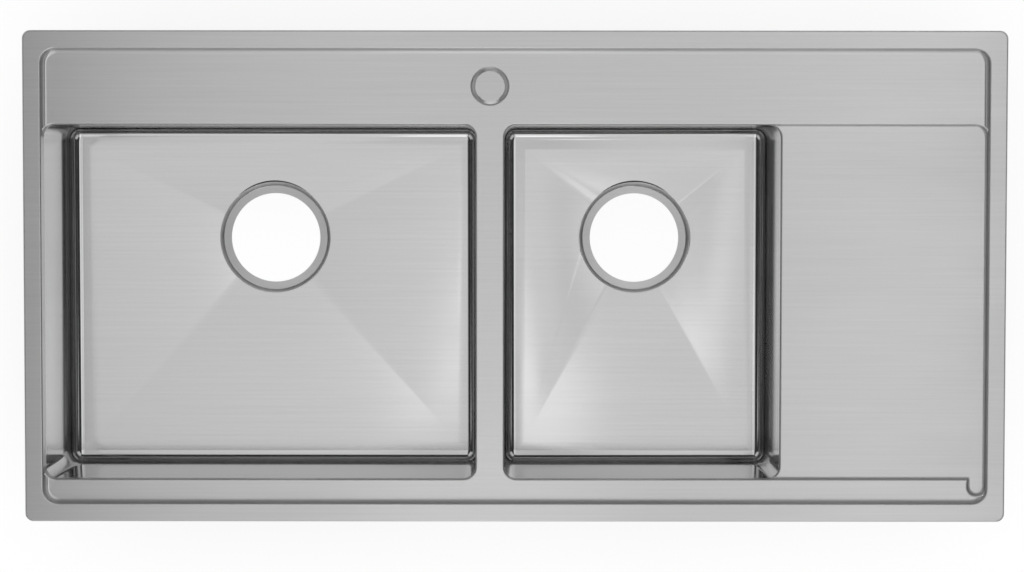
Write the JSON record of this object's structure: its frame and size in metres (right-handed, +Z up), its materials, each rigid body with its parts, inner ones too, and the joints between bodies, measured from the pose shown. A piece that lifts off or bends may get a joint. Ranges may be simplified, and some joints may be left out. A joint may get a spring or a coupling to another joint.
{
  "type": "inset kitchen sink",
  "caption": "Stainless inset kitchen sink with a large and a small welded bowl, stepped tap deck, drainboard on the right, creased bowl floors, recessed drains and swing clips underneath.",
  "frame": {"origin": "middle of the plane where the rim rests on the worktop", "axes": "+X towards the drainboard, +Y towards the tap deck at the rear, +Z up out of the worktop"},
  "size_m": [1, 0.5, 0.1805],
  "materials": {
    "satin_steel": "satin steel sheet, brushed along the length",
    "blank_steel": "satin steel disc, brushed along the length",
    "channel_steel": "plain mill-finish steel",
    "clip_steel": "zinc-plated steel",
    "rubber_pad": "matt",
    "foam_seal": "closed-cell foam"
  },
  "bodies": {
    "sink": {"deck": "satin_steel", "left_bowl": "satin_steel", "right_bowl": "satin_steel", "rim_seal": "foam_seal", "left_bowl_rear_pad": "rubber_pad", "left_bowl_front_pad": "rubber_pad", "left_bowl_left_pad": "rubber_pad", "left_bowl_floor_pad": "rubber_pad", "right_bowl_rear_pad": "rubber_pad", "right_bowl_front_pad": "rubber_pad", "right_bowl_right_pad": "rubber_pad", "right_bowl_floor_pad": "rubber_pad", "front_stiffener": "channel_steel", "rear_stiffener": "channel_steel", "clip_studs": "clip_steel"},
    "blank": {"tap_hole_blank": "blank_steel"},
    "nut_1": {"clip_nut_1": "clip_steel"},
    "arm_1": {"clip_arm_1": "clip_steel"},
    "nut_2": {"clip_nut_2": "clip_steel"},
    "arm_2": {"clip_arm_2": "clip_steel"},
    "nut_3": {"clip_nut_3": "clip_steel"},
    "arm_3": {"clip_arm_3": "clip_steel"},
    "nut_4": {"clip_nut_4": "clip_steel"},
    "arm_4": {"clip_arm_4": "clip_steel"},
    "nut_5": {"clip_nut_5": "clip_steel"},
    "arm_5": {"clip_arm_5": "clip_steel"},
    "nut_6": {"clip_nut_6": "clip_steel"},
    "arm_6": {"clip_arm_6": "clip_steel"},
    "nut_7": {"clip_nut_7": "clip_steel"},
    "arm_7": {"clip_arm_7": "clip_steel"},
    "nut_8": {"clip_nut_8": "clip_steel"},
    "arm_8": {"clip_arm_8": "clip_steel"}
  },
  "joints": [
    {"name": "blank_lift", "type": "slide", "parent": "sink", "child": "blank", "axis": [0, 0, 1], "range_m": [0, 0.1]},
    {"name": "nut_1_climb", "type": "slide", "parent": "sink", "child": "nut_1", "axis": [0, 0, 1], "range_m": [0, 0.022]},
    {"name": "arm_1_swing", "type": "hinge", "parent": "nut_1", "child": "arm_1", "pos_m": [-0.38, 0.211, -0.041], "axis": [0, 0, 1], "range_deg": [0, 90]},
    {"name": "nut_2_climb", "type": "slide", "parent": "sink", "child": "nut_2", "axis": [0, 0, 1], "range_m": [0, 0.022]},
    {"name": "arm_2_swing", "type": "hinge", "parent": "nut_2", "child": "arm_2", "pos_m": [0.09, 0.211, -0.041], "axis": [0, 0, 1], "range_deg": [0, 90]},
    {"name": "nut_3_climb", "type": "slide", "parent": "sink", "child": "nut_3", "axis": [0, 0, 1], "range_m": [0, 0.022]},
    {"name": "arm_3_swing", "type": "hinge", "parent": "nut_3", "child": "arm_3", "pos_m": [0.38, 0.211, -0.041], "axis": [0, 0, 1], "range_deg": [0, 90]},
    {"name": "nut_4_climb", "type": "slide", "parent": "sink", "child": "nut_4", "axis": [0, 0, 1], "range_m": [0, 0.022]},
    {"name": "arm_4_swing", "type": "hinge", "parent": "nut_4", "child": "arm_4", "pos_m": [-0.33, -0.2185, -0.041], "axis": [0, 0, 1], "range_deg": [0, 90]},
    {"name": "nut_5_climb", "type": "slide", "parent": "sink", "child": "nut_5", "axis": [0, 0, 1], "range_m": [0, 0.022]},
    {"name": "arm_5_swing", "type": "hinge", "parent": "nut_5", "child": "arm_5", "pos_m": [0.09, -0.2185, -0.041], "axis": [0, 0, 1], "range_deg": [0, 90]},
    {"name": "nut_6_climb", "type": "slide", "parent": "sink", "child": "nut_6", "axis": [0, 0, 1], "range_m": [0, 0.022]},
    {"name": "arm_6_swing", "type": "hinge", "parent": "nut_6", "child": "arm_6", "pos_m": [0.4, -0.2185, -0.041], "axis": [0, 0, 1], "range_deg": [0, 90]},
    {"name": "nut_7_climb", "type": "slide", "parent": "sink", "child": "nut_7", "axis": [0, 0, 1], "range_m": [0, 0.022]},
    {"name": "arm_7_swing", "type": "hinge", "parent": "nut_7", "child": "arm_7", "pos_m": [0.459, -0.09, -0.046], "axis": [0, 0, 1], "range_deg": [0, 90]},
    {"name": "nut_8_climb", "type": "slide", "parent": "sink", "child": "nut_8", "axis": [0, 0, 1], "range_m": [0, 0.022]},
    {"name": "arm_8_swing", "type": "hinge", "parent": "nut_8", "child": "arm_8", "pos_m": [0.459, 0.11, -0.046], "axis": [0, 0, 1], "range_deg": [0, 90]}
  ]
}
